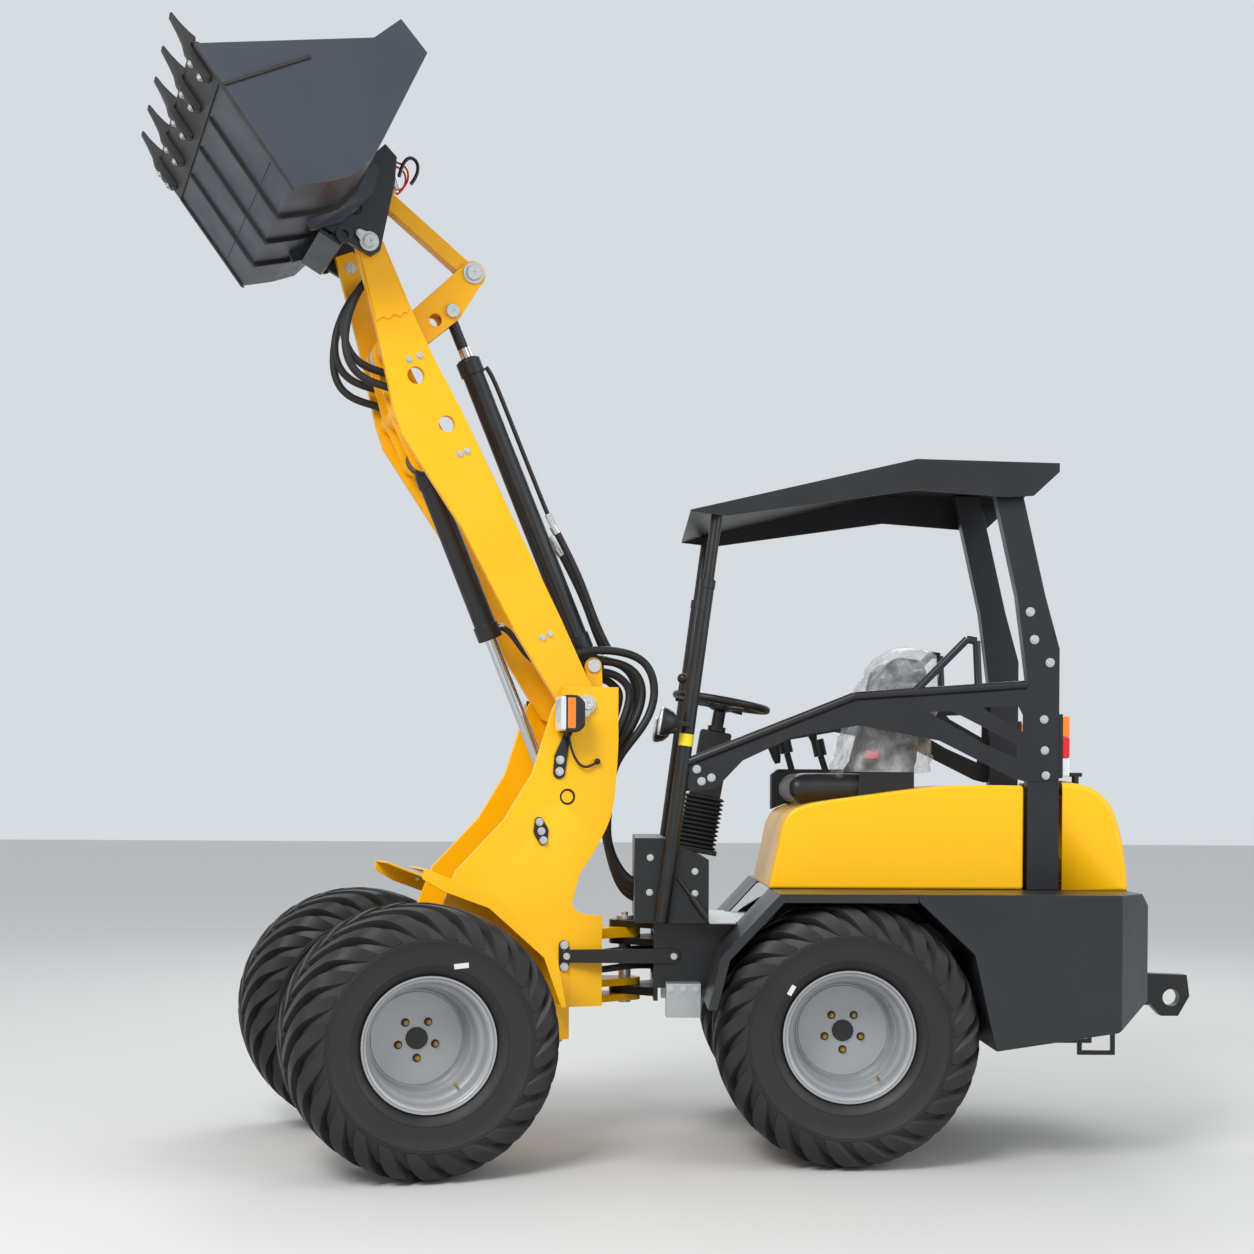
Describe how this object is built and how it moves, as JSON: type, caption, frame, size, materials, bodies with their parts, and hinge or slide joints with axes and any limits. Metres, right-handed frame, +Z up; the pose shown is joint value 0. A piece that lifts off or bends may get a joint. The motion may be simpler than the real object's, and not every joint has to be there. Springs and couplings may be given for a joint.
{
  "type": "articulated wheel loader",
  "caption": "Small articulated wheel loader with a raised linkage boom, quick coupler, toothed bucket, open driver's place with roof, and free-turning wheels.",
  "frame": {"origin": "middle of the overall box at ground level", "axes": "+X forwards along the rear half, +Y to its left, +Z up"},
  "size_m": [3.7202, 1.7418, 3.5789],
  "materials": {
    "anthracite_paint": "satin",
    "black_paint": "satin",
    "black_plastic": "matte",
    "cast_grey": "rough",
    "chrome": "polished",
    "galvanised": "satin",
    "lamp_lens": "gloss",
    "red_lens": "gloss",
    "seat_cover": "satin",
    "silver_paint": "satin",
    "tyre_rubber": "matte",
    "yellow_paint": "gloss"
  },
  "bodies": {
    "chassis": {"rear_frame": "black_paint", "articulation_pin": "galvanised", "rear_axle": "black_paint", "rear_mudguards": "anthracite_paint", "side_tanks": "anthracite_paint", "counterweight": "anthracite_paint", "engine_block": "cast_grey", "hood_shell": "yellow_paint", "floor_plate": "galvanised", "step_boxes": "black_paint", "console": "anthracite_paint", "steering_column": "black_plastic", "seat": "seat_cover", "control_box": "black_plastic", "front_posts": "anthracite_paint", "rear_posts": "anthracite_paint", "roof": "black_paint", "side_rails": "anthracite_paint", "tail_lamps": "red_lens", "work_lamps": "lamp_lens", "tow_hook": "galvanised", "tie_down_loops": "galvanised"},
    "front_half": {"front_frame": "yellow_paint", "front_axle": "black_paint", "boom_pins": "galvanised", "front_mudguards": "yellow_paint", "headlamps": "lamp_lens"},
    "boom_arms": {"boom": "yellow_paint"},
    "lift_barrel": {"lift_barrel": "black_paint"},
    "lift_rod": {"lift_rod": "chrome"},
    "tilt_base": {"tilt_pin": "galvanised"},
    "tilt_barrel": {"tilt_barrel": "black_paint"},
    "tilt_rod": {"tilt_rod": "chrome"},
    "rocker_base": {"rocker_pin": "galvanised"},
    "rocker": {"rocker": "yellow_paint"},
    "link_base": {"link_pin": "galvanised"},
    "tilt_link": {"tilt_link": "yellow_paint"},
    "tip": {"tip_pins": "galvanised"},
    "bucket": {"coupler": "anthracite_paint", "bucket": "anthracite_paint", "cutting_edge": "black_paint"},
    "steer_barrel": {"steer_barrel": "black_paint"},
    "steer_rod": {"steer_rod": "chrome"},
    "steering_wheel": {"steering_wheel": "black_plastic"},
    "rear_hatch": {"rear_hatch": "yellow_paint"},
    "front_left_wheel": {"front_left_tyre": "tyre_rubber", "front_left_rim": "silver_paint"},
    "front_right_wheel": {"front_right_tyre": "tyre_rubber", "front_right_rim": "silver_paint"},
    "rear_left_wheel": {"rear_left_tyre": "tyre_rubber", "rear_left_rim": "silver_paint"},
    "rear_right_wheel": {"rear_right_tyre": "tyre_rubber", "rear_right_rim": "silver_paint"}
  },
  "joints": [
    {"name": "steer", "type": "hinge", "parent": "chassis", "child": "front_half", "pos_m": [0.13986, -0.1809, 0.62], "axis": [0, 0, 1], "range_deg": [-58, 22]},
    {"name": "front_left_wheel_turn", "type": "hinge", "parent": "front_half", "child": "front_left_wheel", "pos_m": [0.79684, 0.54778, 0.43], "axis": [-0.309, 0.9511, 0], "continuous": true},
    {"name": "rear_left_wheel_turn", "type": "hinge", "parent": "chassis", "child": "rear_left_wheel", "pos_m": [-0.57614, 0.3091, 0.43], "axis": [0, 1, 0], "continuous": true},
    {"name": "front_right_wheel_turn", "type": "hinge", "parent": "front_half", "child": "front_right_wheel", "pos_m": [1.09968, -0.38425, 0.43], "axis": [-0.309, 0.9511, 0], "continuous": true},
    {"name": "rear_right_wheel_turn", "type": "hinge", "parent": "chassis", "child": "rear_right_wheel", "pos_m": [-0.57614, -0.6709, 0.43], "axis": [0, 1, 0], "continuous": true},
    {"name": "lift", "type": "hinge", "parent": "front_half", "child": "boom_arms", "pos_m": [0.33483, -0.11755, 1.511], "axis": [-0.309, 0.9511, 0], "range_deg": [0, 112.6]},
    {"name": "tip_level", "type": "hinge", "parent": "boom_arms", "child": "tip", "pos_m": [1.05097, 0.11514, 3.008], "axis": [-0.309, 0.9511, 0], "range_deg": [-107.2, 3]},
    {"name": "bucket_tilt", "type": "hinge", "parent": "tip", "child": "bucket", "pos_m": [1.05097, 0.11514, 3.008], "axis": [-0.309, 0.9511, 0], "range_deg": [0, 95]},
    {"name": "rocker_level", "type": "hinge", "parent": "boom_arms", "child": "rocker_base", "pos_m": [0.96252, 0.0864, 2.68], "axis": [-0.309, 0.9511, 0], "range_deg": [-58.71, 3]},
    {"name": "rocker_swing", "type": "hinge", "parent": "rocker_base", "child": "rocker", "pos_m": [0.96252, 0.0864, 2.68], "axis": [-0.309, 0.9511, 0], "range_deg": [-3, 35.06]},
    {"name": "link_level", "type": "hinge", "parent": "rocker", "child": "link_base", "pos_m": [0.68196, -0.00476, 2.978], "axis": [-0.309, 0.9511, 0], "range_deg": [-3, 52.36]},
    {"name": "link_swing", "type": "hinge", "parent": "link_base", "child": "tilt_link", "pos_m": [0.68196, -0.00476, 2.978], "axis": [-0.309, 0.9511, 0], "range_deg": [-3, 14.77]},
    {"name": "tilt_cylinder_level", "type": "hinge", "parent": "front_half", "child": "tilt_base", "pos_m": [0.27206, -0.13795, 1.651], "axis": [-0.309, 0.9511, 0], "range_deg": [-3, 115.6]},
    {"name": "tilt_cylinder_swing", "type": "hinge", "parent": "tilt_base", "child": "tilt_barrel", "pos_m": [0.27206, -0.13795, 1.651], "axis": [-0.309, 0.9511, 0], "range_deg": [-3, 6]},
    {"name": "tilt_rod_slide", "type": "slide", "parent": "tilt_barrel", "child": "tilt_rod", "axis": [0.3704, 0.1203, 0.9211], "range_m": [0, 0.13646]},
    {"name": "lift_cylinder_swing", "type": "hinge", "parent": "boom_arms", "child": "lift_barrel", "pos_m": [0.84554, 0.04839, 2.342], "axis": [-0.309, 0.9511, 0], "range_deg": [-3, 3.22]},
    {"name": "lift_rod_slide", "type": "slide", "parent": "lift_barrel", "child": "lift_rod", "axis": [-0.3619, -0.1176, -0.9248], "range_m": [-0.53879, 0]},
    {"name": "steer_cylinder_swing", "type": "hinge", "parent": "chassis", "child": "steer_barrel", "pos_m": [-0.19014, -0.3009, 0.62], "axis": [0, 0, 1], "range_deg": [-25.25, 11.44]},
    {"name": "steer_rod_slide", "type": "slide", "parent": "steer_barrel", "child": "steer_rod", "axis": [0.9976, 0.0689, 0], "range_m": [-0.13889, 0.05393]},
    {"name": "steering_wheel_turn", "type": "hinge", "parent": "chassis", "child": "steering_wheel", "pos_m": [-0.19814, -0.1809, 1.531], "axis": [-0.1741, 0, 0.9847], "continuous": true},
    {"name": "hatch_hinge", "type": "hinge", "parent": "chassis", "child": "rear_hatch", "pos_m": [-1.55914, -0.1809, 0.9], "axis": [0, -1, 0], "range_deg": [0, 70]}
  ],
  "couplings": [
    {"joint": "tip_level", "follows": "lift", "ratio": -0.9254},
    {"joint": "rocker_level", "follows": "lift", "ratio": -0.49473},
    {"joint": "rocker_swing", "follows": "bucket_tilt", "ratio": 0.33745},
    {"joint": "link_level", "follows": "lift", "ratio": 0.43837},
    {"joint": "link_swing", "follows": "bucket_tilt", "ratio": 0.12393},
    {"joint": "tilt_cylinder_level", "follows": "lift", "ratio": 1},
    {"joint": "tilt_cylinder_swing", "follows": "bucket_tilt", "ratio": 0.031531},
    {"joint": "tilt_rod_slide", "follows": "bucket_tilt", "m_per_rad": 0.081097},
    {"joint": "lift_cylinder_swing", "follows": "lift", "ratio": 0.001972},
    {"joint": "lift_rod_slide", "follows": "lift", "m_per_rad": -0.27314},
    {"joint": "steer_cylinder_swing", "follows": "steer", "ratio": 0.38359},
    {"joint": "steer_rod_slide", "follows": "steer", "m_per_rad": 0.13523}
  ]
}
